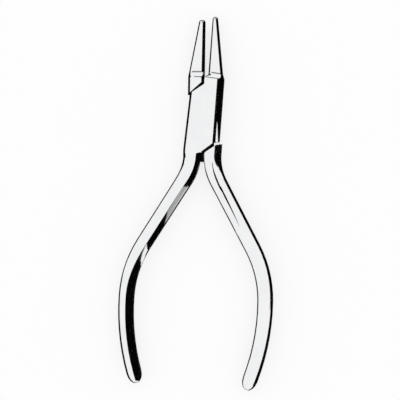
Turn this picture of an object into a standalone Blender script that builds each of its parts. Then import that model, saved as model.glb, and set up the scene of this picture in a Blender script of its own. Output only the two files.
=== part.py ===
"""Collar pliers: dental pliers with a box joint, lying flat with the jaws toward +Y.

The origin is on the pivot's axis, level with the underside of the box. Each half is modelled
closed, with the pivot at its origin, and is then turned open by half of the rest opening.
"""

import math
from collections import namedtuple

import bmesh
import bpy
from mathutils import Matrix, Vector

MM = 0.001
DEG = math.pi / 180

# How far the halves are turned apart, at rest and when the tongue meets the slot's far wall
REST_OPENING = 3.6 * DEG
FULL_OPENING = 31.6 * DEG

# The box, where the halves cross, and how far its sides lie from the pivot
BOX_THICKNESS = 9.0 * MM
BOX_JAW_SIDE = 6.5 * MM
CHEEK_SIDE_AT_TOP = 5.9 * MM
HANDLE_SIDE = 6.95 * MM
BOX_ROUND = 2.8 * MM
BOX_ROUND_DEPTH = 2.2 * MM

# The cheeks' slanting ends, as lines this far from the pivot. The lower end turns level at its
# knee and is rounded into the side.
TOP_END = 11.4 * MM
TOP_END_SLOPE = 38 * DEG
LOW_END = 8.6 * MM
LOW_END_SLOPE = 41 * DEG
LOW_END_KNEE = 4.0 * MM
LOW_END_ROUND = 1.0 * MM

# The other half's shoulders: their least gap, how far their slopes differ, and the level ledge's gap
SHOULDER_GAP = 0.2 * MM
TOP_SHOULDER_SPREAD = 4.5 * DEG
LOW_SHOULDER_SPREAD = 7 * DEG
LEDGE_GAP = 1.0 * MM
CORNER_RELIEF = 0.2 * MM

# The cheeks' lips, which lap over the other jaw's root below the ramp
LIP = 1.05 * MM
LIP_RISE = 0.9 * MM
LIP_ROUND = 0.15 * MM

# The tongue and the slot that it turns in
CHEEK = 2.8 * MM
TONGUE_WIDTH = 8.0 * MM
TONGUE_LEAN = 25 * DEG
TONGUE_JAW_SHOULDER_SIDE = 6.15 * MM
TONGUE_JAW_SIDE = 5.3 * MM
TONGUE_HANDLE_SIDE = 5.9 * MM
TONGUE_GAP = 0.2 * MM
SLOT_SPARE_SWING = 1.5 * DEG

# The web that runs down from the tongue and laps into the other handle at the fork
WEB = 1.1 * MM
WEB_LENGTH = 15.4 * MM

# The pivot pin, ground flush with both cheeks
PIN_DIAMETER = 4.0 * MM
PIN_GAP = 0.05 * MM
PIN_SIDES = 48

# The jaws, whose grips meet a little to the right of the pivot. No corner's round takes more
# than MOST_ROUND of a jaw's width.
GRIP_GAP = 0.2 * MM
GRIP_OFFSET = 0.2 * MM
BOX_HALF_JAW = 39.2 * MM
TONGUE_HALF_JAW = 37.8 * MM
JAW_ROOT = 18.2 * MM
JAW_RAMP = 1.8 * MM
BOX_HALF_RAMP_SLANT = 4.5 * DEG
JAW_ROOT_WIDTH = 5.8 * MM
JAW_TIP_WIDTH = 2.4 * MM
JAW_ROOT_THICKNESS = 6.4 * MM
JAW_TIP_THICKNESS = 3.6 * MM
JAW_ROUND = 1.1 * MM
GRIP_ROUND = 1.3 * MM
TIP_ROUND = 1.0 * MM
MOST_ROUND = 0.45

# The handles' middle line, from the box down: a bend out, a straight splay, then two bows back in.
# The reach is how far it swings out to the side, and gives the straight splay its length.
HANDLE_TOP = 13.5 * MM
HANDLE_REACH = 23.9 * MM
HANDLE_BEND_RADIUS = 20 * MM
HANDLE_SPLAY = 28.2 * DEG
HANDLE_BOW_RADIUS = 42 * MM
HANDLE_END_RADIUS = 85 * MM
BOX_HALF_END_SWEEP = 19.6 * DEG
TONGUE_HALF_END_SWEEP = 20.2 * DEG

# The handles' section: a flat as far as the ridge, then a facet that falls to a thin inner edge
HANDLE_GAP = 0.2 * MM
HANDLE_BLEND = 14 * MM
HANDLE_ROUND_BLEND = 8 * MM
HANDLE_TOP_WIDTH = 6.6 * MM
HANDLE_WIDTH = 6.3 * MM
HANDLE_END_WIDTH = 5.7 * MM
HANDLE_END_LENGTH = 4.2 * MM
HANDLE_THICKNESS = 6.0 * MM
HANDLE_END_THICKNESS = 5.4 * MM
BOX_HALF_TOP_EDGE_THICKNESS = 6.6 * MM
HANDLE_EDGE_THICKNESS = 3.4 * MM
HANDLE_OUTER_ROUND = 1.0 * MM
HANDLE_END_OUTER_ROUND = 1.6 * MM
HANDLE_INNER_ROUND = 0.95 * MM
BOX_HALF_RIDGE_AT_TOP = 0.7
TONGUE_HALF_RIDGE_AT_TOP = 0.5
RIDGE_AT_SPLAY = 0.63
RIDGE_AT_END = 0.45

# The box half's facet starts on a slant: how far down its outer end lies, toward the next section
FACET_SLANT = 0.8

# How finely curves are divided
CORNER_STEPS = 6
ARC_STEPS = 7
END_TURNS = (25 * DEG, 45 * DEG, 60 * DEG, 73 * DEG)
LOW_END_LAST_TURN = 10 * DEG

# How far cutters reach, and the length over which a blank widens where a cutter trims it
REACH = 20 * MM
WIDENING = 0.1 * MM

MIDDLE = BOX_THICKNESS / 2
STEEL = (0.60, 0.60, 0.61, 1)

# A section across a half, between two points in plan. The flat runs from the left edge to the
# ridge, and the facet from there to the right edge, where the edge thickness is what it would
# have without its round. Thicknesses are whole; squat is a round's depth as a share of its width.
Section = namedtuple(
    "Section", "left right thickness edge_thickness ridge left_round right_round squat"
)


def direction(angle):
    return Vector((math.cos(angle), math.sin(angle)))


def mix(a, b, share):
    return a + (b - a) * share


def ease(a, b, share):
    """From a to b, leaving and arriving smoothly."""
    share = min(max(share, 0), 1)
    return mix(a, b, share * share * (3 - 2 * share))


def outline(section):
    """The section's closed loop of points: its upper side from left to right, and the lower side back."""
    width = (section.right - section.left).length
    flat, edge = section.thickness / 2, section.edge_thickness / 2
    left_round, right_round = section.left_round, section.right_round
    ridge = section.ridge * width
    shares = [i / CORNER_STEPS for i in range(CORNER_STEPS + 1)]
    upper = []
    for share in shares:
        turn = math.pi / 2 * share
        u = left_round * (1 - math.cos(turn))
        upper.append((u, flat - section.squat * left_round * (1 - math.sin(turn))))
    upper.append((ridge, flat))
    fall = math.atan2((flat - edge) / section.squat, width - ridge)
    depth = right_round * math.tan(math.pi / 4 - fall / 2)
    for share in shares:
        turn = mix(fall, math.pi / 2, share)
        u = width - right_round * (1 - math.sin(turn))
        upper.append((u, edge - section.squat * (depth - right_round * math.cos(turn))))
    across = (section.right - section.left) / width
    loop = upper + [(u, -h) for u, h in reversed(upper)]
    return [(*(section.left + across * u), MIDDLE + h) for u, h in loop]


def loft(name, sections):
    """A closed solid through the sections, with flat ends."""
    bm = bmesh.new()
    rings = [[bm.verts.new(point) for point in outline(section)] for section in sections]
    for ring, after in zip(rings, rings[1:]):
        for i in range(len(ring)):
            bm.faces.new((ring[i - 1], ring[i], after[i], after[i - 1]))
    bm.faces.new(rings[0])
    bm.faces.new(rings[-1])
    bmesh.ops.recalc_face_normals(bm, faces=bm.faces)
    mesh = bpy.data.meshes.new(name)
    bm.to_mesh(mesh)
    bm.free()
    return bpy.data.objects.new(name, mesh)


def arc(start, heading, radius, turn, steps):
    """Points and headings along an arc that leaves start and turns by an angle, left if positive."""
    side = math.copysign(1, turn)
    centre = start + direction(heading + side * math.pi / 2) * radius
    for i in range(1, steps + 1):
        angle = turn * i / steps
        yield centre + Matrix.Rotation(angle, 2) @ (start - centre), heading + angle


def handle_line(end_sweep):
    """Points and headings down the middle of a handle on the left."""
    start = (HANDLE_GAP + HANDLE_TOP_WIDTH) / 2
    bends = (HANDLE_BEND_RADIUS + HANDLE_BOW_RADIUS) * (1 - math.cos(HANDLE_SPLAY))
    straight = (HANDLE_REACH - start - bends) / math.sin(HANDLE_SPLAY)
    point = Vector((-start, -HANDLE_TOP))
    heading = -math.pi / 2
    line = [(point, heading)]
    line += arc(*line[-1], HANDLE_BEND_RADIUS, -HANDLE_SPLAY, ARC_STEPS)
    point, heading = line[-1]
    for i in range(1, ARC_STEPS + 1):
        line.append((point + direction(heading) * straight * i / ARC_STEPS, heading))
    line += arc(*line[-1], HANDLE_BOW_RADIUS, HANDLE_SPLAY, ARC_STEPS)
    line += arc(*line[-1], HANDLE_END_RADIUS, end_sweep, ARC_STEPS)
    return line


def handle_sections(top_edge_thickness, ridge_at_top, end_sweep):
    line = handle_line(end_sweep)
    lengths = [0]
    for (before, _), (point, _) in zip(line, line[1:]):
        lengths.append(lengths[-1] + (point - before).length)
    bow_start = lengths[2 * ARC_STEPS]
    sections = []
    for (point, heading), length in zip(line, lengths):
        share = length / lengths[-1]
        blend = length / HANDLE_BLEND
        width = ease(HANDLE_TOP_WIDTH, mix(HANDLE_WIDTH, HANDLE_END_WIDTH, share), blend)
        later = mix(HANDLE_THICKNESS, HANDLE_END_THICKNESS, share)
        outward = direction(heading - math.pi / 2) * width / 2
        bowed = (length - bow_start) / (HANDLE_BOW_RADIUS * HANDLE_SPLAY)
        ridge = ease(RIDGE_AT_SPLAY, RIDGE_AT_END, bowed)
        to_end = (length - bow_start) / (lengths[-1] - bow_start)
        outer_round = ease(HANDLE_OUTER_ROUND, HANDLE_END_OUTER_ROUND, to_end)
        rounded = length / HANDLE_ROUND_BLEND
        sections.append(
            Section(
                left=point + outward,
                right=point - outward,
                thickness=ease(BOX_THICKNESS, later, blend),
                edge_thickness=ease(top_edge_thickness, HANDLE_EDGE_THICKNESS, blend),
                ridge=ease(ridge_at_top, ridge, blend),
                left_round=ease(BOX_ROUND, outer_round, rounded),
                right_round=HANDLE_INNER_ROUND,
                squat=ease(BOX_ROUND_DEPTH / BOX_ROUND, 1, rounded),
            )
        )
    point, heading = line[-1]
    last = sections[-1]
    for turn in END_TURNS:
        shrink = math.cos(turn)
        centre = point + direction(heading) * HANDLE_END_LENGTH * math.sin(turn)
        outward = direction(heading - math.pi / 2) * HANDLE_END_WIDTH / 2 * shrink
        sections.append(
            last._replace(
                left=centre + outward,
                right=centre - outward,
                thickness=mix(last.edge_thickness, last.thickness, shrink),
                left_round=last.left_round * shrink,
                right_round=last.right_round * shrink,
            )
        )
    return sections


def jaw_sections(length, grip, side, slant):
    """From the jaw's tip to the foot of its ramp, with the grip on the left at the given x."""
    fall = Vector((0, JAW_ROOT_WIDTH * math.tan(slant)))
    jaw = Section(
        left=Vector((grip, JAW_ROOT)),
        right=Vector((JAW_ROOT_WIDTH, JAW_ROOT)) - fall,
        thickness=JAW_ROOT_THICKNESS,
        edge_thickness=JAW_ROOT_THICKNESS,
        ridge=0.5,
        left_round=GRIP_ROUND,
        right_round=JAW_ROUND,
        squat=1,
    )
    sections = []
    most = MOST_ROUND * (JAW_TIP_WIDTH - grip)
    for turn in (*reversed(END_TURNS), 0):
        y = length - TIP_ROUND * (1 - math.sin(turn))
        inset = TIP_ROUND * (1 - math.cos(turn))
        sections.append(
            jaw._replace(
                left=Vector((grip + inset, y)),
                right=Vector((JAW_TIP_WIDTH - inset, y)),
                thickness=JAW_TIP_THICKNESS - 2 * inset,
                edge_thickness=JAW_TIP_THICKNESS - 2 * inset,
                left_round=min(GRIP_ROUND, most) * math.cos(turn),
                right_round=min(JAW_ROUND, most) * math.cos(turn),
            )
        )
    foot = jaw._replace(
        left=Vector((grip, JAW_ROOT - JAW_RAMP)),
        right=Vector((side, JAW_ROOT - JAW_RAMP)) - fall,
        thickness=BOX_THICKNESS,
        edge_thickness=BOX_THICKNESS,
        right_round=BOX_ROUND,
        squat=BOX_ROUND_DEPTH / BOX_ROUND,
    )
    return [*sections, jaw, foot]


def between(a, b, share):
    """The section part of the way from one section to the next."""
    return Section(*(mix(x, y, share) for x, y in zip(a, b)))


def box_sections(foot, rows):
    """Full-thickness sections from rows of y, left edge and right edge."""
    for y, left, right in rows:
        yield foot._replace(
            left=Vector((left, y)),
            right=Vector((right, y)),
            left_round=foot.left_round if left > -BOX_ROUND else BOX_ROUND,
            right_round=BOX_ROUND if right > BOX_ROUND else HANDLE_INNER_ROUND,
        )


def prism(name, points, low, high):
    """A cutter with straight sides over a plan outline, between two heights."""
    bm = bmesh.new()
    face = bm.faces.new([bm.verts.new((*point, low)) for point in points])
    extruded = bmesh.ops.extrude_face_region(bm, geom=[face])["geom"]
    risen = [item for item in extruded if isinstance(item, bmesh.types.BMVert)]
    bmesh.ops.translate(bm, verts=risen, vec=(0, 0, high - low))
    bmesh.ops.recalc_face_normals(bm, faces=bm.faces)
    mesh = bpy.data.meshes.new(name)
    bm.to_mesh(mesh)
    bm.free()
    return bpy.data.objects.new(name, mesh)


def corner_cutter(name, corner, normal, side):
    """A wedge that trims a blank back to a line from one of its inner corners, with a small relief there."""
    along = direction(normal + side * math.pi / 2)
    apex = corner - along * CORNER_RELIEF
    points = [apex, apex + along * REACH, apex + direction(normal) * REACH]
    return prism(name, points, -REACH, BOX_THICKNESS + REACH)


def line_at(x, distance, angle):
    """The y where a line, this far from the pivot and with its normal at this angle, crosses x."""
    return (distance - x * math.cos(angle)) / math.sin(angle)


def cylinder(name, radius, length):
    """A cylinder on the pivot's axis, centred in the box's thickness."""
    bm = bmesh.new()
    bmesh.ops.create_cone(
        bm,
        cap_ends=True,
        segments=PIN_SIDES,
        radius1=radius,
        radius2=radius,
        depth=length,
        matrix=Matrix.Translation((0, 0, MIDDLE)),
    )
    mesh = bpy.data.meshes.new(name)
    bm.to_mesh(mesh)
    bm.free()
    return bpy.data.objects.new(name, mesh)


def bore_cutter(name):
    return cylinder(name, PIN_DIAMETER / 2 + PIN_GAP, 2 * BOX_THICKNESS)


def mirror(mesh):
    """Turns a mesh into its twin on the other side of the middle line."""
    bm = bmesh.new()
    bm.from_mesh(mesh)
    bmesh.ops.scale(bm, vec=(-1, 1, 1), verts=bm.verts)
    bmesh.ops.reverse_faces(bm, faces=bm.faces)
    bm.to_mesh(mesh)
    bm.free()


def cut(part, cutters, collection, operation="DIFFERENCE"):
    """Takes the cutters away from the part, or joins them to it, one after the other."""
    for cutter in cutters:
        collection.objects.link(cutter)
        cutter.hide_render = True
        cutter.display_type = "WIRE"
        cutter.parent = part
        modifier = part.modifiers.new(cutter.name, "BOOLEAN")
        modifier.operation = operation
        modifier.solver = "EXACT"
        modifier.object = cutter


# The directions of the normals of the cheeks' ends and the tongue, with the halves closed
TOP_NORMAL = math.pi / 2 + TOP_END_SLOPE
LOW_NORMAL = LOW_END_SLOPE - math.pi / 2
TONGUE_NORMAL = TONGUE_LEAN
SWING = FULL_OPENING + SLOT_SPARE_SWING

# Where the grips, the handles' inner edges and the lips' tops lie, with the halves closed
BOX_GRIP = GRIP_OFFSET + GRIP_GAP / 2
TONGUE_GRIP = GRIP_OFFSET - GRIP_GAP / 2
INNER = HANDLE_GAP / 2
LIP_TOP = JAW_ROOT - JAW_RAMP

# Where the cheeks' lower ends run level, and the centre of the round beside that
LOW_END_LEVEL = line_at(LOW_END_KNEE, LOW_END, LOW_NORMAL)
LOW_END_CENTRE = Vector((BOX_JAW_SIDE - LOW_END_ROUND, LOW_END_LEVEL + LOW_END_ROUND))
LEDGE = LOW_END_LEVEL - LEDGE_GAP


def slot_cutter():
    """The slot through the box, its end walls each with one face for the closed tongue and one for the open."""
    wall = TONGUE_WIDTH / 2 + TONGUE_GAP
    corner = direction(TONGUE_NORMAL + SWING / 2) * wall / math.cos(SWING / 2)
    open_face = direction(TONGUE_NORMAL + SWING + math.pi / 2) * REACH
    grip = BOX_GRIP + GRIP_GAP / 2
    web = -WEB - TONGUE_GAP
    top = LIP_TOP + LIP_RISE + GRIP_GAP
    low = -WEB_LENGTH - TONGUE_GAP
    points = [
        corner,
        Vector((grip, line_at(grip, wall, TONGUE_NORMAL))),
        Vector((grip, top)),
        Vector((-REACH, top)),
        open_face - corner,
        -corner,
        Vector((web, line_at(web, -wall, TONGUE_NORMAL))),
        Vector((web, low)),
        Vector((REACH, low)),
        corner - open_face,
    ]
    return prism("slot_cutter", points, CHEEK, BOX_THICKNESS - CHEEK)


def low_end_cutter(fork):
    """Trims the cheeks' lower ends: a slant up from the fork, a level part and a round into the side."""
    along = direction(LOW_NORMAL + math.pi / 2)
    apex = fork - along * CORNER_RELIEF
    turns = [mix(-math.pi / 2, -LOW_END_LAST_TURN, i / CORNER_STEPS) for i in range(CORNER_STEPS + 1)]
    points = [
        apex,
        Vector((LOW_END_KNEE, LOW_END_LEVEL)),
        *(LOW_END_CENTRE + direction(turn) * LOW_END_ROUND for turn in turns),
        Vector((REACH, LOW_END_CENTRE.y)),
        Vector((REACH, -REACH)),
        apex + direction(LOW_NORMAL) * REACH,
    ]
    return prism("cheek_low_cutter", points, -REACH, BOX_THICKNESS + REACH)


def make_box_half(cutters):
    """The half whose box holds the slot: its jaw is on the right and its handle on the left."""
    crotch = Vector((-LIP, line_at(-LIP, TOP_END, TOP_NORMAL)))
    fork = Vector((-INNER, line_at(-INNER, LOW_END, LOW_NORMAL)))
    *jaw, root, foot = jaw_sections(BOX_HALF_JAW, BOX_GRIP, BOX_JAW_SIDE, BOX_HALF_RAMP_SLANT)
    ramp = between(foot, root, LIP_RISE / JAW_RAMP)
    lip = foot._replace(left=Vector((crotch.x, LIP_TOP)), left_round=LIP_ROUND)
    rows = [
        (crotch.y + WIDENING, crotch.x, BOX_JAW_SIDE),
        (crotch.y, -CHEEK_SIDE_AT_TOP, BOX_JAW_SIDE),
        (fork.y, -HANDLE_SIDE, BOX_JAW_SIDE),
    ]
    sections = [*jaw, root, ramp, lip, *box_sections(lip, rows)]
    top, *handle = handle_sections(
        BOX_HALF_TOP_EDGE_THICKNESS, BOX_HALF_RIDGE_AT_TOP, BOX_HALF_END_SWEEP
    )
    rise = Vector((0, WIDENING))
    facet = top._replace(left=mix(top.left, handle[0].left, FACET_SLANT), right=fork - 2 * rise)
    step = facet._replace(left=facet.left + rise, right=fork - rise, edge_thickness=BOX_THICKNESS)
    half = loft("box_half", [*sections, step, facet, *handle])
    cut(
        half,
        [
            corner_cutter("cheek_top_cutter", crotch, TOP_NORMAL, 1),
            low_end_cutter(fork),
            slot_cutter(),
            bore_cutter("box_bore_cutter"),
        ],
        cutters,
    )
    return half


def top_shoulder_at(x):
    """The upper shoulder's y: its line clears the cheek's end at the side and spreads from it inward."""
    normal = TOP_NORMAL + TOP_SHOULDER_SPREAD
    corner = Vector((-CHEEK_SIDE_AT_TOP, line_at(-CHEEK_SIDE_AT_TOP, TOP_END, TOP_NORMAL)))
    clear = corner + direction(TOP_NORMAL) * SHOULDER_GAP
    return line_at(x, clear.dot(direction(normal)), normal)


def low_shoulder_at(x):
    """The lower shoulder's y: its line clears the circle that the cheek's round sweeps."""
    swept = LOW_END_CENTRE.length + LOW_END_ROUND + SHOULDER_GAP
    return line_at(x, swept, LOW_NORMAL - LOW_SHOULDER_SPREAD)


def cheek_pocket():
    """The plan of the other half's hollows for the cheeks: its shoulders, and the lips' outline above."""
    lip = -LIP - SHOULDER_GAP
    rise = math.atan2(LIP_RISE, LIP + BOX_GRIP)
    lip_top = LIP_TOP + SHOULDER_GAP * math.tan(math.pi / 4 - rise / 2)
    slope = LOW_END_SLOPE - LOW_SHOULDER_SPREAD
    knee = (LEDGE - low_shoulder_at(0)) / math.tan(slope)
    return [
        Vector((-REACH, low_shoulder_at(-REACH))),
        Vector((knee, LEDGE)),
        Vector((REACH, LEDGE)),
        Vector((REACH, lip_top + (REACH - lip) * math.tan(rise))),
        Vector((lip, lip_top)),
        Vector((lip, top_shoulder_at(lip))),
        Vector((-REACH, top_shoulder_at(-REACH))),
    ]


def make_tongue_half(cutters):
    """The half whose tongue passes through the slot: its jaw is on the left and its handle on the right."""
    edge = TONGUE_WIDTH / 2
    crotch = Vector((TONGUE_GRIP, line_at(TONGUE_GRIP, edge, TONGUE_NORMAL)))
    fork = Vector((-WEB, line_at(-WEB, -edge, TONGUE_NORMAL)))
    jaw_side = TONGUE_JAW_SHOULDER_SIDE
    jaw_corner = top_shoulder_at(-jaw_side)
    *jaw, foot = jaw_sections(TONGUE_HALF_JAW, -TONGUE_GRIP, jaw_side, 0)
    rows = [
        (jaw_corner - CORNER_RELIEF, -TONGUE_GRIP, jaw_side),
        (jaw_corner - CORNER_RELIEF - WIDENING, -TONGUE_GRIP, TONGUE_JAW_SIDE),
        (crotch.y + WIDENING, -TONGUE_GRIP, TONGUE_JAW_SIDE),
        (crotch.y, -TONGUE_HANDLE_SIDE, TONGUE_JAW_SIDE),
        (fork.y, -TONGUE_HANDLE_SIDE, TONGUE_JAW_SIDE),
        (fork.y - WIDENING, -TONGUE_HANDLE_SIDE, -INNER),
        (LEDGE + CORNER_RELIEF + WIDENING, -TONGUE_HANDLE_SIDE, -INNER),
        (LEDGE + CORNER_RELIEF, -HANDLE_SIDE, -INNER),
    ]
    sections = [*jaw, foot, *box_sections(foot, rows)]
    sections += handle_sections(BOX_THICKNESS, TONGUE_HALF_RIDGE_AT_TOP, TONGUE_HALF_END_SWEEP)
    half = loft("tongue_half", sections)
    mirror(half.data)
    pocket = cheek_pocket()
    floor = CHEEK + TONGUE_GAP
    web = [
        Vector((x, y))
        for x, y in ((-WEB, -WEB_LENGTH), (WEB, -WEB_LENGTH), (WEB, fork.y + WEB), (-WEB, fork.y + WEB))
    ]
    cut(
        half,
        [
            prism("tongue_front_cutter", pocket, BOX_THICKNESS - floor, BOX_THICKNESS + REACH),
            prism("tongue_back_cutter", pocket, -REACH, floor),
        ],
        cutters,
    )
    cut(half, [prism("web", web, floor, BOX_THICKNESS - floor)], cutters, "UNION")
    cut(
        half,
        [
            corner_cutter("tongue_right_cutter", crotch, TONGUE_NORMAL, -1),
            corner_cutter("tongue_left_cutter", fork, TONGUE_NORMAL + math.pi, -1),
            bore_cutter("tongue_bore_cutter"),
        ],
        cutters,
    )
    return half


def make_pivot_pin():
    """A plain rivet, ground flush with both cheeks."""
    return cylinder("pivot_pin", PIN_DIAMETER / 2, BOX_THICKNESS)


def steel(name, roughness):
    """Polished stainless steel."""
    material = bpy.data.materials.new(name)
    material.use_nodes = True
    shader = material.node_tree.nodes["Principled BSDF"]
    shader.inputs["Base Color"].default_value = STEEL
    shader.inputs["Metallic"].default_value = 1
    shader.inputs["Roughness"].default_value = roughness
    return material


def main():
    for old in list(bpy.data.objects):
        bpy.data.objects.remove(old, do_unlink=True)
    scene = bpy.context.scene.collection
    parts = bpy.data.collections.new("collar_pliers")
    cutters = bpy.data.collections.new("cutters")
    scene.children.link(parts)
    scene.children.link(cutters)
    box_half = make_box_half(cutters)
    tongue_half = make_tongue_half(cutters)
    pivot_pin = make_pivot_pin()
    for part, roughness in ((box_half, 0.18), (tongue_half, 0.2), (pivot_pin, 0.16)):
        parts.objects.link(part)
        part.data.materials.append(steel(part.name + "_steel", roughness))
        part.data.shade_smooth()
        part.data.set_sharp_from_angle(angle=25 * DEG)
    box_half.rotation_euler.z = -REST_OPENING / 2
    tongue_half.rotation_euler.z = REST_OPENING / 2


main()
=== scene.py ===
"""Looks of the collar pliers: polished steel halves over the CAD part, on a white table."""

import math

import bmesh
import bpy
from bpy.props import FloatProperty, PointerProperty, StringProperty
from mathutils import Matrix, Vector
from mathutils.geometry import intersect_line_plane
from mathutils.interpolate import poly_3d_calc


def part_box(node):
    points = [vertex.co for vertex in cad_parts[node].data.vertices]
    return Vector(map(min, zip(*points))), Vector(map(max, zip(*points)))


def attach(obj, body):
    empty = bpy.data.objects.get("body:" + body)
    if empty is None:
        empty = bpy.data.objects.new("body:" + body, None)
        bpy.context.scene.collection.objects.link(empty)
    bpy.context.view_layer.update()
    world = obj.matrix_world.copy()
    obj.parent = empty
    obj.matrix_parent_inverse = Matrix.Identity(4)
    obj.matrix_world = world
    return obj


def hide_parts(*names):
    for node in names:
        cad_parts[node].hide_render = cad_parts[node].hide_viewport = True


bl_info = {
    "name": "Collar pliers",
    "version": (1, 0, 0),
    "blender": (4, 5, 0),
    "location": "3D View > Sidebar > Pliers",
    "description": "Builds polished box joint pliers around their CAD frame, with a small studio",
    "category": "Add Mesh",
}

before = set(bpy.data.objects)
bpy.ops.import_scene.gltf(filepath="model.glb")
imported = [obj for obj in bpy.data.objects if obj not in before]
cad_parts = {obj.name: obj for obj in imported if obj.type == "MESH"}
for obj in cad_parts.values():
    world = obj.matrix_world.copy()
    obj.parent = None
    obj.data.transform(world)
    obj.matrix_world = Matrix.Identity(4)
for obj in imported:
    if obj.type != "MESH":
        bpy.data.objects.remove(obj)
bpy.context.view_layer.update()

MM = 0.001
DEG = math.pi / 180

# The photograph's frame: its size in pixels, its scale, and where the pivot's axis shows in it
FRAME_PIXELS = 400
PIXEL = 0.375 * MM
PIVOT_PIXEL = (204.0, 121.0)
ROLL = 2.6 * DEG

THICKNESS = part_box("box_half")[1].z
PIN_LOW, PIN_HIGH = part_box("pivot_pin")

# A real pin is peened out into its bore, so the one that shows is a hair thinner than the bore
PIN_RADIUS = 2.045 * MM

# How far each half is turned at rest from where it is with the jaws closed
REST_TURN = 1.8 * DEG

# The crease that runs down the right handle beside its ridge: pixels of the photograph, with the
# radius of the round that cuts it there, and how steeply its sides leave the surface
CREASE = (
    ((212.8, 162.0), 0.5 * MM),
    ((213.5, 166.0), 1.1 * MM),
    ((215.0, 171.3), 1.5 * MM),
    ((217.4, 178.0), 1.6 * MM),
    ((220.0, 184.7), 1.5 * MM),
    ((222.4, 189.3), 1.4 * MM),
    ((226.5, 197.5), 1.2 * MM),
    ((232.4, 210.0), 0.8 * MM),
    ((236.9, 220.0), 0.4 * MM),
    ((239.5, 226.5), 0.1 * MM),
)
CREASE_SIDE = 33 * DEG

# Patches of reflected light and shade, as the photograph's pixels round each one: a light streak
# beside the right cheek's edge, one down the left handle's bow, and the left handle's facet, grey
# and then pale
CHEEK_LIGHT = (
    (217.1, 121.8),
    (217.5, 128.3),
    (217.7, 136.0),
    (217.8, 142.0),
    (216.7, 143.0),
    (215.5, 142.0),
    (215.9, 136.0),
    (216.5, 128.3),
)
BOW_LIGHT = (
    (145.9, 244.6),
    (146.7, 244.0),
    (146.9, 248.0),
    (146.5, 252.3),
    (145.1, 256.0),
    (143.5, 260.0),
    (140.9, 266.4),
    (140.8, 262.0),
    (141.2, 258.0),
    (142.4, 253.6),
    (144.2, 249.0),
)
FACET_SHADE = (
    (180.6, 189.6),
    (185.4, 190.4),
    (181.2, 196.7),
    (173.6, 208.4),
    (169.9, 214.3),
    (165.8, 220.1),
    (164.6, 224.0),
    (165.8, 219.2),
    (166.8, 214.6),
    (167.0, 211.0),
)
FACET_LIGHT = (
    (185.4, 190.4),
    (188.0, 190.7),
    (183.6, 196.7),
    (176.0, 208.4),
    (173.0, 214.3),
    (168.6, 220.1),
    (165.6, 224.8),
    (164.6, 224.0),
    (165.8, 220.1),
    (169.9, 214.3),
    (173.6, 208.4),
    (181.2, 196.7),
)
FACET_SHADE_MIDDLE = (177.5, 199.5)

# How far the small cards that give these patches stand from the steel that mirrors them
CHEEK_CARD_DISTANCE = 25 * MM
BOW_CARD_DISTANCE = 12 * MM
FACET_CARD_DISTANCE = 13 * MM

# The large cards round the tool: name, elevations and azimuths in degrees, and colour. They stand
# high on the right, for the steel's black sides, and low on the left and beyond the tips, for its
# thin black outline. The last one is grey and high up, where the jaws' ramps mirror it.
DARK_CARDS = (
    ("dark_card_right", (0, 80), (-30, 60), "050505"),
    ("dark_card_below", (0, 60), (-50, -30), "050505"),
    ("dark_card_left", (0, 10), (170, 200), "080808"),
    ("dark_card_upper_left", (0, 20), (145, 170), "080808"),
    ("dark_card_lower_left", (0, 20), (200, 310), "080808"),
    ("dark_card_top", (0, 10), (60, 120), "080808"),
    ("dark_card_ramps", (35, 70), (60, 120), "909090"),
)

# How far below the tool's back the table and the dark card on it lie, so that no faces meet
TABLE_DROP = 0.3 * MM
TABLE_CARD_DROP = 0.15 * MM

# From here on, places are taken on the closed pliers from the pivot: across, which is to the right
# in the photograph, and along, which is up to the tips.

# Across: where the lower pocket's floor is left polished and bright, without the painted shade,
# beside the front cheek's end
BRIGHT_FLOOR = (3.95 * MM, 5.8 * MM)

# Along: where the jaws' ramps begin and end, within how much an edge counts as there, and how far
# the box half's ramp slants
RAMP_ENDS = (16.4 * MM, 18.2 * MM)
RAMP_NEAR = 0.12 * MM
BOX_HALF_RAMP_SLANT = 4.5 * DEG

# The faces that work inside the joint: how far they lie from mid thickness and from the middle
# line, between which places along it, and where along it the lower pocket starts
JOINT_DEPTH = 1.75 * MM
JOINT_ACROSS = 5.6 * MM
JOINT_ALONG = (-15.5 * MM, 18.0 * MM)
LOWER_POCKET_TOP = -5 * MM

# The wall beside the web under the box
WEB_WALL_ACROSS = 1.0 * MM
WEB_WALL_ALONG = (-16.2 * MM, -11.2 * MM)

# The grips: where they start along the jaws, and how far from the middle line they reach
GRIP_START = 18.4 * MM
GRIP_ACROSS = 2.2 * MM

# How upright a face's normal is where the face is flat, and where it is level
FLAT_NORMAL = 0.985
LEVEL_NORMAL = 0.99

# The angle at an edge from which it is broken, from which its shading stays crisp, and from which a
# facet or a round counts as parted from its flat
BROKEN_EDGE = 40 * DEG
CRISP_EDGE = 28 * DEG
RIDGE_EDGE = 5 * DEG


def srgb(colour):
    """A hex colour such as B8BBBF as linear red, green, blue and alpha."""
    channels = [int(colour[i : i + 2], 16) / 255 for i in (0, 2, 4)]
    linear = [c / 12.92 if c <= 0.04045 else ((c + 0.055) / 1.055) ** 2.4 for c in channels]
    return (*linear, 1)


def deselect():
    if bpy.context.object and bpy.context.object.mode != "OBJECT":
        bpy.ops.object.mode_set(mode="OBJECT")
    bpy.ops.object.select_all(action="DESELECT")


def activate(obj):
    deselect()
    obj.select_set(True)
    bpy.context.view_layer.objects.active = obj


def place_in_mesh(obj):
    """Moves the object's place into its mesh, as a CAD node has it."""
    activate(obj)
    bpy.ops.object.transform_apply(location=True, rotation=True, scale=True)


def node(tree, kind, place, values=(), links=(), **settings):
    """Adds a node with its settings, its sockets' values and the sockets that feed it."""
    made = tree.nodes.new(kind)
    made.location = place
    for key, value in settings.items():
        setattr(made, key, value)
    for socket, value in dict(values).items():
        made.inputs[socket].default_value = value
    for socket, source in dict(links).items():
        tree.links.new(source, made.inputs[socket])
    return made


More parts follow.
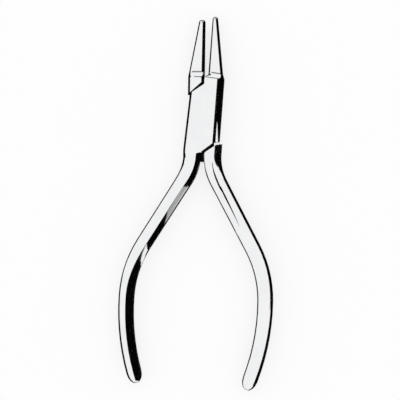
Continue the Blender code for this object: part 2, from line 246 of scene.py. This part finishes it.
def blank_material(name):
    """A material with only its output and Principled shader."""
    material = bpy.data.materials.new(name)
    material.use_nodes = True
    tree = material.node_tree
    return material, tree, tree.nodes["Principled BSDF"]


# Stainless steel, ground and then polished: close to a mirror, so it shows the studio's white and
# black, with faint lengthwise lines left by the wheel and a slight haze where it is smeared. Real
# polishing lines are finer than the render can show, so these are drawn coarser.
def polished_stainless(settings):
    name = "polished_stainless"
    if name in bpy.data.materials:
        return bpy.data.materials[name]
    material, tree, shader = blank_material(name)
    shader.inputs["Metallic"].default_value = 1
    place = node(tree, "ShaderNodeTexCoord", (-1100, 0)).outputs["Object"]
    clouds = node(
        tree,
        "ShaderNodeTexNoise",
        (-850, 200),
        {"Scale": 1 / settings.cloud_size, "Detail": 3, "Roughness": 0.6},
        {"Vector": place},
    ).outputs["Fac"]
    tint = node(
        tree,
        "ShaderNodeMix",
        (-300, 300),
        {6: srgb(settings.steel_hex), 7: srgb(settings.smear_hex)},
        {0: clouds},
        data_type="RGBA",
    )
    tree.links.new(tint.outputs[2], shader.inputs["Base Color"])
    least = settings.roughness
    smeared = 1.7 * least
    rough = node(
        tree,
        "ShaderNodeMapRange",
        (-300, 50),
        {"From Min": 0.35, "From Max": 0.7, "To Min": least, "To Max": smeared},
        {"Value": clouds},
    )
    tree.links.new(rough.outputs[0], shader.inputs["Roughness"])
    stretched = node(
        tree,
        "ShaderNodeMapping",
        (-850, -200),
        {"Scale": (1 / settings.line_width, 1 / settings.line_length, 1 / settings.line_width)},
        {"Vector": place},
    ).outputs[0]
    lines = node(
        tree, "ShaderNodeTexNoise", (-600, -200), {"Scale": 1.0, "Detail": 2}, {"Vector": stretched}
    ).outputs["Fac"]
    bump = node(
        tree,
        "ShaderNodeBump",
        (-300, -200),
        {"Strength": 1.0, "Distance": settings.line_depth},
        {"Height": lines},
    )
    tree.links.new(bump.outputs[0], shader.inputs["Normal"])
    return material


# The faces that work inside the joint, and the grips: the same steel, left as machined, with
# painted shade that makes it near black, standing in for the shade in the joint's recesses and in
# the gap between the jaws. Old oil lies on it in blots under a millimetre wide, so it is dull, and
# wet in places.
def joint_shade_and_oil(settings):
    name = "oiled_joint_steel"
    if name in bpy.data.materials:
        return bpy.data.materials[name]
    material, tree, shader = blank_material(name)
    shader.inputs["Metallic"].default_value = 1
    place = node(tree, "ShaderNodeTexCoord", (-1100, 0)).outputs["Object"]
    blot_size = 0.7 * MM
    film = node(
        tree,
        "ShaderNodeTexNoise",
        (-850, 0),
        {"Scale": 1 / blot_size, "Detail": 4},
        {"Vector": place},
    ).outputs["Fac"]
    tint = node(
        tree,
        "ShaderNodeMix",
        (-300, 200),
        {6: srgb(settings.joint_shade_hex), 7: srgb(settings.oil_blot_shade_hex)},
        {0: film},
        data_type="RGBA",
    )
    tree.links.new(tint.outputs[2], shader.inputs["Base Color"])
    rough = node(
        tree, "ShaderNodeMapRange", (-300, 0), {"To Min": 0.65, "To Max": 0.35}, {"Value": film}
    )
    tree.links.new(rough.outputs[0], shader.inputs["Roughness"])
    return material


class SteelSettings(bpy.types.PropertyGroup):
    steel_hex: StringProperty(
        name="Steel", description="Colour of the polished steel, sRGB hex", default="F6F6F6"
    )
    smear_hex: StringProperty(
        name="Smear",
        description="Colour of the steel where it is faintly smeared, sRGB hex",
        default="EAEBED",
    )
    # Painted shade: the near black that stands in for the shade inside the joint and between the
    # jaws
    joint_shade_hex: StringProperty(
        name="Joint",
        description="Colour of the oiled faces inside the joint, sRGB hex",
        default="18181A",
    )
    # Painted shade too: the old oil's blots, a little darker still
    oil_blot_shade_hex: StringProperty(
        name="Oil", description="Colour of the old oil inside the joint, sRGB hex", default="0E0D0C"
    )
    roughness: FloatProperty(
        name="Roughness",
        description="Least roughness of the polished steel",
        default=0.05,
        min=0,
        max=1,
    )
    cloud_size: FloatProperty(
        name="Smears",
        description="Size of the faint smears on the steel",
        default=5 * MM,
        unit="LENGTH",
        subtype="DISTANCE",
        precision=5,
    )
    line_width: FloatProperty(
        name="Line width",
        description="Spacing of the polishing lines",
        default=0.15 * MM,
        unit="LENGTH",
        subtype="DISTANCE",
        precision=5,
    )
    line_length: FloatProperty(
        name="Line length",
        description="Length of the polishing lines",
        default=6 * MM,
        unit="LENGTH",
        subtype="DISTANCE",
        precision=5,
    )
    line_depth: FloatProperty(
        name="Line depth",
        description="Depth of the polishing lines",
        default=0.0005 * MM,
        unit="LENGTH",
        subtype="DISTANCE",
        precision=6,
    )
    ramp_round: FloatProperty(
        name="Ramp round",
        description="How far the rounds at the jaws' ramps reach from their edges",
        default=0.38 * MM,
        unit="LENGTH",
        subtype="DISTANCE",
        precision=5,
    )
    edge_width: FloatProperty(
        name="Edge",
        description="Width of the broken edges, before the bevel's clamp holds it back",
        default=0.14 * MM,
        unit="LENGTH",
        subtype="DISTANCE",
        precision=5,
    )


class StageSettings(bpy.types.PropertyGroup):
    hatch_light_hex: StringProperty(
        name="Hatch paper",
        description="Colour between the hatched card's lines, sRGB hex",
        default="C4C4C4",
    )
    hatch_dark_hex: StringProperty(
        name="Hatch lines",
        description="Colour of the hatched card's lines, sRGB hex",
        default="909090",
    )
    hatch_pitch: FloatProperty(
        name="Hatch pitch",
        description="Spacing of the hatched card's lines",
        default=0.45 * MM,
        unit="LENGTH",
        subtype="DISTANCE",
        precision=5,
    )
    hatch_turn: FloatProperty(
        name="Hatch turn",
        description="How far the hatched card's lines lean from upright",
        default=-20 * DEG,
        unit="ROTATION",
        subtype="ANGLE",
    )
    camera_distance: FloatProperty(
        name="Camera distance",
        description="From the camera to the middle of the pliers' thickness",
        default=0.9,
        unit="LENGTH",
        subtype="DISTANCE",
    )
    card_distance: FloatProperty(
        name="Card distance",
        description="From the pivot to the dark cards around the tool",
        default=0.5,
        unit="LENGTH",
        subtype="DISTANCE",
    )
    table_hex: StringProperty(
        name="Table", description="Colour of the table, sRGB hex", default="F8F8F8"
    )
    table_white: FloatProperty(
        name="Table white",
        description="Share of the table that shows as plain white, without shadow",
        default=0.8,
        min=0,
        max=1,
    )


def merged_copy(node_name, name):
    """A copy of a CAD node, merged, with its flat faces whole again."""
    deselect()
    obj = bpy.data.objects.new(name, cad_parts[node_name].data.copy())
    obj.data.name = name
    bpy.context.scene.collection.objects.link(obj)
    obj.data.materials.clear()
    activate(obj)
    bpy.ops.object.mode_set(mode="EDIT")
    bpy.ops.mesh.select_all(action="SELECT")
    bpy.ops.mesh.remove_doubles(threshold=0.002 * MM)
    bpy.ops.mesh.customdata_custom_splitnormals_clear()
    bpy.ops.mesh.dissolve_limited(angle_limit=0.05 * DEG)
    bpy.ops.mesh.tris_convert_to_quads(face_threshold=20 * DEG, shape_threshold=60 * DEG)
    bpy.ops.object.mode_set(mode="OBJECT")
    return obj


def select_edges(obj, wanted):
    """Selects the edges between two faces for which wanted(edge, face, face) is true."""
    activate(obj)
    bpy.ops.object.mode_set(mode="EDIT")
    bpy.ops.mesh.select_mode(type="EDGE")
    bpy.ops.mesh.select_all(action="DESELECT")
    mesh = bmesh.from_edit_mesh(obj.data)
    for edge in mesh.edges:
        if len(edge.link_faces) == 2 and wanted(edge, *edge.link_faces):
            edge.select = True
    bmesh.update_edit_mesh(obj.data)


def is_ridge(edge, a, b):
    """Whether the edge parts a flat from a facet or a round."""
    flat, facet = sorted((a, b), key=lambda face: -abs(face.normal.z))
    return abs(flat.normal.z) > FLAT_NORMAL and flat.normal.angle(facet.normal) > RIDGE_EDGE


def soften_ramp(obj, turn, slant, settings):
    """Rounds the edges where the jaw's front ramp meets the box and the jaw."""
    back = Matrix.Rotation(-turn, 3, "Z")

    def along_ramp(edge, a, b):
        ends = [back @ vert.co for vert in edge.verts]
        if min(end.z for end in ends) < THICKNESS / 2:
            return False
        levels = [end.x * math.tan(slant) + end.y for end in ends]
        return any(all(abs(level - place) < RAMP_NEAR for level in levels) for place in RAMP_ENDS)

    select_edges(obj, along_ramp)
    bpy.ops.mesh.bevel(offset=settings.ramp_round, segments=4, clamp_overlap=False)


def finish_edges(obj, settings):
    """Breaks the sharp edges, then shades the rounds smooth and keeps flats and ridge crisp.

    The shortest edges here are 0.003 mm long on the box half and 0.015 mm on the tongue half, so
    the bevel's clamp holds the break to 0.001 and 0.004 mm, and the edges still look sharp.
    """
    select_edges(obj, lambda edge, a, b: edge.calc_face_angle() > BROKEN_EDGE)
    bpy.ops.mesh.bevel(offset=settings.edge_width, segments=2, clamp_overlap=True)
    select_edges(
        obj, lambda edge, a, b: edge.calc_face_angle() > CRISP_EDGE or is_ridge(edge, a, b)
    )
    bpy.ops.mesh.mark_sharp()
    bpy.ops.mesh.select_all(action="SELECT")
    bpy.ops.mesh.faces_shade_smooth()
    bpy.ops.object.mode_set(mode="OBJECT")
    weighted = obj.modifiers.new("weighted_normals", "WEIGHTED_NORMAL")
    weighted.keep_sharp = True
    weighted.weight = 50
    bpy.ops.object.modifier_apply(modifier=weighted.name)


def is_deep(centre):
    """Whether a face with this centre lies as near mid thickness as the joint's floors."""
    return abs(centre.z - THICKNESS / 2) < JOINT_DEPTH


def is_level(face):
    return abs(face.normal.z) > LEVEL_NORMAL


def select_floors(obj):
    """Selects the level faces at the depth of the joint's floors."""
    bpy.ops.mesh.select_all(action="DESELECT")
    mesh = bmesh.from_edit_mesh(obj.data)
    for face in mesh.faces:
        face.select = is_deep(face.calc_center_median()) and is_level(face)
    bmesh.update_edit_mesh(obj.data)


def part_floor(obj, turn):
    """Cuts the pocket's floors along the lines where their bright part starts and ends."""
    activate(obj)
    bpy.ops.object.mode_set(mode="EDIT")
    bpy.ops.mesh.select_mode(type="FACE")
    across = Matrix.Rotation(turn, 3, "Z") @ Vector((1, 0, 0))
    for distance in BRIGHT_FLOOR:
        select_floors(obj)
        bpy.ops.mesh.bisect(plane_co=across * distance, plane_no=across)
    bpy.ops.object.mode_set(mode="OBJECT")


def paint_joint_shade(obj, turn, grip_side, grip_tilt, web_side=0):
    """Gives the grip and the faces that work inside the joint the mesh's second material: painted
    shade, near black, for the shade in the joint's recesses and between the jaws.

    A side is 1 for right and -1 for left. A grip's faces turn to their side by more than the tilt,
    and the web's wall lies on its side of the middle line.
    """
    back = Matrix.Rotation(-turn, 3, "Z")
    for face in obj.data.polygons:
        centre = back @ face.center
        x, y = centre.x, centre.y
        level = is_level(face)
        inside = abs(x) < JOINT_ACROSS and JOINT_ALONG[0] < y < JOINT_ALONG[1]
        floor_end = level and x > BRIGHT_FLOOR[1] and JOINT_ALONG[0] < y < LOWER_POCKET_TOP
        bright = level and BRIGHT_FLOOR[0] < x < BRIGHT_FLOOR[1] and y < LOWER_POCKET_TOP
        by_web = 0 < x * web_side < WEB_WALL_ACROSS and WEB_WALL_ALONG[0] < y < WEB_WALL_ALONG[1]
        turned = (back @ face.normal).x * grip_side > grip_tilt
        grip = turned and y > GRIP_START and abs(x) < GRIP_ACROSS
        # The web's wall, the grip and the joint's faces, all but the bright floor, get the painted
        # shade
        if by_web or grip or is_deep(centre) and (inside and not bright or floor_end):
            face.material_index = 1


def photo_point(pixel):
    """The point halfway through the tool's thickness that shows at a pixel of the photograph."""
    across = (pixel[0] - PIVOT_PIXEL[0]) * PIXEL
    up = (PIVOT_PIXEL[1] - pixel[1]) * PIXEL
    return Matrix.Rotation(ROLL, 3, "Z") @ Vector((across, up, 0)) + Vector((0, 0, THICKNESS / 2))


def camera_place(stage):
    """Straight above the point at the photograph's middle."""
    middle = FRAME_PIXELS / 2
    return photo_point((middle, middle)) + Vector((0, 0, stage.camera_distance))


def seen_at(pixel, camera, pieces):
    """Where the camera sees the pieces at a pixel, and the normal that shades them there."""
    ray = (photo_point(pixel) - camera).normalized()
    hits = []
    for piece in pieces:
        hit, place, _, index = piece.ray_cast(camera, ray)
        if hit:
            hits.append(((place - camera).length, place, piece.data, index))
    _, place, mesh, index = min(hits, key=lambda hit: hit[0])
    mesh.calc_loop_triangles()
    triangles = [tri for tri in mesh.loop_triangles if tri.polygon_index == index]
    weighed = [
        (poly_3d_calc([mesh.vertices[i].co for i in tri.vertices], place), tri) for tri in triangles
    ]
    weights, triangle = max(weighed, key=lambda pair: min(pair[0]))
    normal = Vector()
    for corner, weight in zip(triangle.loops, weights):
        normal += mesh.corner_normals[corner].vector * weight
    return place, normal.normalized(), ray


def carve_crease(obj, stage):
    """Carves a shallow round groove along the crease."""
    deselect()
    camera = camera_place(stage)
    curve = bpy.data.curves.new("crease", "CURVE")
    curve.dimensions = "3D"
    curve.bevel_depth = 1  # each point's radius is then in metres
    curve.bevel_resolution = 8
    curve.use_fill_caps = True
    spline = curve.splines.new("POLY")
    spline.points.add(len(CREASE) - 1)
    for point, (pixel, radius) in zip(spline.points, CREASE):
        place, _, _ = seen_at(pixel, camera, [obj])
        point.co = (place.x, place.y, place.z + radius * math.cos(CREASE_SIDE), 1)
        point.radius = radius
    cutter = bpy.data.objects.new("crease", curve)
    bpy.context.scene.collection.objects.link(cutter)
    activate(cutter)
    bpy.ops.object.convert(target="MESH")
    activate(obj)
    groove = obj.modifiers.new("crease", "BOOLEAN")
    groove.object = cutter
    groove.solver = "EXACT"
    bpy.ops.object.modifier_apply(modifier=groove.name)
    bpy.data.objects.remove(cutter, do_unlink=True)


class PLIERS_OT_box_half(bpy.types.Operator):
    """Builds the half with the box: the right jaw, the cheeks and the left handle"""

    bl_idname = "pliers.box_half"
    bl_label = "Box half"

    def execute(self, context):
        steel = context.scene.pliers_steel
        half = merged_copy("box_half", "box_half_polished")
        soften_ramp(half, -REST_TURN, BOX_HALF_RAMP_SLANT, steel)
        finish_edges(half, steel)
        half.data.materials.append(polished_stainless(steel))
        # Its second material is painted shade, for the joint and the grip
        half.data.materials.append(joint_shade_and_oil(steel))
        paint_joint_shade(half, -REST_TURN, grip_side=-1, grip_tilt=0.8, web_side=-1)
        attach(half, "box_half")
        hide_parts("box_half")
        return {"FINISHED"}


class PLIERS_OT_tongue_half(bpy.types.Operator):
    """Builds the half with the tongue: the left jaw and the right handle"""

    bl_idname = "pliers.tongue_half"
    bl_label = "Tongue half"

    def execute(self, context):
        steel = context.scene.pliers_steel
        half = merged_copy("tongue_half", "tongue_half_polished")
        soften_ramp(half, REST_TURN, 0, steel)
        carve_crease(half, context.scene.pliers_stage)
        part_floor(half, REST_TURN)
        finish_edges(half, steel)
        half.data.materials.append(polished_stainless(steel))
        # Its second material is painted shade, for the joint and the grip
        half.data.materials.append(joint_shade_and_oil(steel))
        paint_joint_shade(half, REST_TURN, grip_side=1, grip_tilt=0.35)
        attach(half, "tongue_half")
        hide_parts("tongue_half")
        return {"FINISHED"}


class PLIERS_OT_pivot_pin(bpy.types.Operator):
    """Builds the pivot pin, ground flush with the cheeks"""

    bl_idname = "pliers.pivot_pin"
    bl_label = "Pivot pin"

    def execute(self, context):
        steel = context.scene.pliers_steel
        deselect()
        middle = (PIN_LOW + PIN_HIGH) / 2
        bpy.ops.mesh.primitive_cylinder_add(
            vertices=96, radius=PIN_RADIUS, depth=THICKNESS, location=middle
        )
        pin = context.object
        pin.name = "pivot_pin_polished"
        place_in_mesh(pin)
        bpy.ops.object.shade_smooth_by_angle(angle=35 * DEG)
        pin.data.materials.append(polished_stainless(steel))
        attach(pin, "box_half")
        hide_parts("pivot_pin")
        return {"FINISHED"}


def dark_card(name, elevations, azimuths, colour, distance):
    """A piece of a dome round the tool, between these elevations and azimuths."""
    low, high = (angle * DEG for angle in elevations)
    start, end = (angle * DEG for angle in azimuths)
    deselect()
    bpy.ops.mesh.primitive_uv_sphere_add(segments=72, ring_count=36, radius=distance)
    card = bpy.context.object
    card.name = name
    bpy.ops.object.mode_set(mode="EDIT")
    bpy.ops.mesh.select_all(action="DESELECT")
    bpy.ops.object.mode_set(mode="OBJECT")
    for face in card.data.polygons:
        centre = face.center.normalized()
        elevation = math.asin(centre.z)
        azimuth = math.atan2(centre.y, centre.x)
        azimuth += 2 * math.pi if azimuth < start else 0
        face.select = not (low < elevation < high and azimuth < end)
    bpy.ops.object.mode_set(mode="EDIT")
    bpy.ops.mesh.delete(type="FACE")
    bpy.ops.object.mode_set(mode="OBJECT")
    place_in_mesh(card)
    card.data.materials.append(card_material(name + "_felt", colour))
    only_reflected(card)


# White paper, matt: mostly a plain white to the camera and to reflections, and lit for the rest, so
# that it holds a soft shadow round the tool.
def table_paper(stage):
    material, tree, shader = blank_material("white_paper")
    shader.inputs["Base Color"].default_value = srgb(stage.table_hex)
    shader.inputs["Roughness"].default_value = 0.9
    shader.inputs["Specular IOR Level"].default_value = 0
    rays = node(tree, "ShaderNodeLightPath", (-600, 300)).outputs
    seen = rays["Is Camera Ray"]
    for across, kind in ((-400, "Is Glossy Ray"), (-200, "Is Transmission Ray")):
        seen = node(
            tree,
            "ShaderNodeMath",
            (across, 300),
            links={0: seen, 1: rays[kind]},
            operation="MAXIMUM",
        ).outputs[0]
    share = node(
        tree,
        "ShaderNodeMath",
        (0, 300),
        {1: stage.table_white},
        {0: seen},
        operation="MULTIPLY",
    )
    glow = node(tree, "ShaderNodeEmission", (0, 100), {"Color": (1, 1, 1, 1), "Strength": 1.0})
    mixed = node(
        tree,
        "ShaderNodeMixShader",
        (300, 200),
        links={0: share.outputs[0], 1: shader.outputs[0], 2: glow.outputs[0]},
    )
    tree.links.new(mixed.outputs[0], tree.nodes["Material Output"].inputs["Surface"])
    return material


# Grey card, printed with fine slanting lines, which the left handle's facet mirrors. A wave of
# scale 1 repeats every pi / 10, so its scale is worked out from the lines' spacing.
def hatched_card(name, stage):
    material = card_material(name, stage.hatch_light_hex, one_sided=True)
    tree = material.node_tree
    printed = node(tree, "ShaderNodeUVMap", (-900, 0), uv_map="seen_place").outputs[0]
    turned = node(
        tree,
        "ShaderNodeMapping",
        (-700, 0),
        {"Rotation": (0, 0, stage.hatch_turn)},
        {"Vector": printed},
    ).outputs[0]
    lines = node(
        tree,
        "ShaderNodeTexWave",
        (-500, 0),
        {"Scale": math.pi / 10 / stage.hatch_pitch, "Distortion": 0.4, "Detail": 1.0},
        {"Vector": turned},
    ).outputs["Fac"]
    tint = node(
        tree,
        "ShaderNodeMix",
        (-250, 0),
        {6: srgb(stage.hatch_dark_hex), 7: srgb(stage.hatch_light_hex)},
        {0: lines},
        data_type="RGBA",
    )
    tree.links.new(tint.outputs[2], tree.nodes["Emission"].inputs["Color"])
    return material


# Felt, paper or card under an even light: it glows evenly, so the steel mirrors it as one tone. A
# one-sided card is clear from behind, so that other faces don't mirror its back.
def card_material(name, colour, one_sided=False):
    material = bpy.data.materials.new(name)
    material.use_nodes = True
    tree = material.node_tree
    tree.nodes.remove(tree.nodes["Principled BSDF"])
    glow = node(tree, "ShaderNodeEmission", (0, 0), {"Color": srgb(colour), "Strength": 1.0})
    surface = glow
    if one_sided:
        behind = node(tree, "ShaderNodeNewGeometry", (0, 300)).outputs["Backfacing"]
        clear = node(tree, "ShaderNodeBsdfTransparent", (0, -200))
        surface = node(
            tree,
            "ShaderNodeMixShader",
            (200, 0),
            links={0: behind, 1: glow.outputs[0], 2: clear.outputs[0]},
        )
    tree.links.new(surface.outputs[0], tree.nodes["Material Output"].inputs["Surface"])
    return material


def mirrored_card(name, pixels, distance, material, stage, flat_at=None, square=False):
    """A card that the camera sees mirrored in the tool with these pixels round it.

    The tool may be taken as flat all round the pixel flat_at, where the card runs on over an edge.
    A square card stands across the rays, so that only they see its front.
    """
    camera = camera_place(stage)
    pieces = [bpy.data.objects["box_half_polished"], bpy.data.objects["tongue_half_polished"]]
    rays = []
    for pixel in pixels:
        place, normal, ray = seen_at(flat_at or pixel, camera, pieces)
        if flat_at:
            point = photo_point(pixel)
            ray = (point - camera).normalized()
            place = intersect_line_plane(camera, point, place, normal)
        rays.append((place, ray.reflect(normal)))
    corners = [place + ray * distance for place, ray in rays]
    if square:
        middle = sum(corners, Vector()) / len(corners)
        across = sum((ray for _, ray in rays), Vector())
        corners = [intersect_line_plane(place, place + ray, middle, across) for place, ray in rays]
    deselect()
    bpy.ops.mesh.primitive_circle_add(vertices=len(corners), fill_type="NGON")
    card = bpy.context.object
    card.name = name
    for vertex, corner in zip(card.data.vertices, corners):
        vertex.co = corner
    if card.data.polygons[0].normal.dot(rays[0][1]) > 0:
        card.data.flip_normals()
    seen = card.data.uv_layers.new(name="seen_place")
    for loop in card.data.loops:
        point = photo_point(pixels[loop.vertex_index])
        seen.data[loop.index].uv = (point.x, point.y)
    card.data.materials.append(material)
    only_reflected(card)


def only_reflected(obj):
    """Hides a card from all but reflections."""
    obj.visible_camera = False
    obj.visible_diffuse = False
    obj.visible_shadow = False
    obj.visible_transmission = False
    obj.visible_volume_scatter = False


class PLIERS_OT_stage(bpy.types.Operator):
    """Builds the table, the cards, the light and the camera"""

    bl_idname = "pliers.stage"
    bl_label = "Stage"

    def execute(self, context):
        scene = context.scene
        stage = scene.pliers_stage
        scene.view_settings.view_transform = "Standard"

        deselect()
        bpy.ops.mesh.primitive_plane_add(size=6, location=(0, 0, -TABLE_DROP))
        table = context.object
        table.name = "table"
        place_in_mesh(table)
        table.data.materials.append(table_paper(stage))

        far = stage.card_distance
        for card in DARK_CARDS:
            dark_card(*card, far)
        deselect()
        bpy.ops.mesh.primitive_circle_add(
            vertices=72, radius=far, fill_type="NGON", location=(0, 0, -TABLE_CARD_DROP)
        )
        mat = context.object
        mat.name = "dark_card_table"
        place_in_mesh(mat)
        mat.data.materials.append(card_material("table_felt", "0A0A0A"))
        only_reflected(mat)

        white = card_material("card_paper", "FFFFFF")
        mirrored_card("light_card_cheek", CHEEK_LIGHT, CHEEK_CARD_DISTANCE, white, stage)
        mirrored_card("light_card_bow", BOW_LIGHT, BOW_CARD_DISTANCE, white, stage)
        grey = hatched_card("card_hatched", stage)
        pale = card_material("card_pale", "D8D8D8", one_sided=True)
        facing = {"flat_at": FACET_SHADE_MIDDLE, "square": True}
        mirrored_card("grey_card_facet", FACET_SHADE, FACET_CARD_DISTANCE, grey, stage, **facing)
        mirrored_card("pale_card_facet", FACET_LIGHT, FACET_CARD_DISTANCE, pale, stage, **facing)

        # An even white room, as bright as the paper
        world = scene.world or bpy.data.worlds.new("studio")
        scene.world = world
        world.use_nodes = True
        background = world.node_tree.nodes["Background"]
        background.inputs["Color"].default_value = (1, 1, 1, 1)
        background.inputs["Strength"].default_value = 1.0

        add_camera(scene, stage)
        return {"FINISHED"}


def add_camera(scene, stage):
    """Looks straight down, with the photograph's lean and its scale at mid thickness."""
    lens = bpy.data.cameras.new("camera")
    camera = bpy.data.objects.new("camera", lens)
    scene.collection.objects.link(camera)
    scene.camera = camera
    camera.location = camera_place(stage)
    camera.rotation_euler = (0, 0, ROLL)
    lens.sensor_width = 36
    lens.lens = lens.sensor_width * stage.camera_distance / (FRAME_PIXELS * PIXEL)
    lens.clip_start = 0.01
    lens.clip_end = 20


class PLIERS_PT_panel(bpy.types.Panel):
    """Lists the pieces and the stage"""

    bl_idname = "PLIERS_PT_panel"
    bl_label = "Collar pliers"
    bl_space_type = "VIEW_3D"
    bl_region_type = "UI"
    bl_category = "Pliers"

    def draw(self, context):
        for settings in (context.scene.pliers_steel, context.scene.pliers_stage):
            box = self.layout.box()
            for name in settings.__annotations__:
                box.prop(settings, name)
        for operator in OPERATORS:
            self.layout.operator(operator.bl_idname)


OPERATORS = (PLIERS_OT_box_half, PLIERS_OT_tongue_half, PLIERS_OT_pivot_pin, PLIERS_OT_stage)
CLASSES = (SteelSettings, StageSettings, *OPERATORS, PLIERS_PT_panel)


def register():
    for cls in CLASSES:
        bpy.utils.register_class(cls)
    bpy.types.Scene.pliers_steel = PointerProperty(type=SteelSettings)
    bpy.types.Scene.pliers_stage = PointerProperty(type=StageSettings)


def unregister():
    del bpy.types.Scene.pliers_stage
    del bpy.types.Scene.pliers_steel
    for cls in reversed(CLASSES):
        bpy.utils.unregister_class(cls)


def main():
    register()
    bpy.ops.pliers.box_half()
    bpy.ops.pliers.tongue_half()
    bpy.ops.pliers.pivot_pin()
    bpy.ops.pliers.stage()


if __name__ == "__main__":
    main()
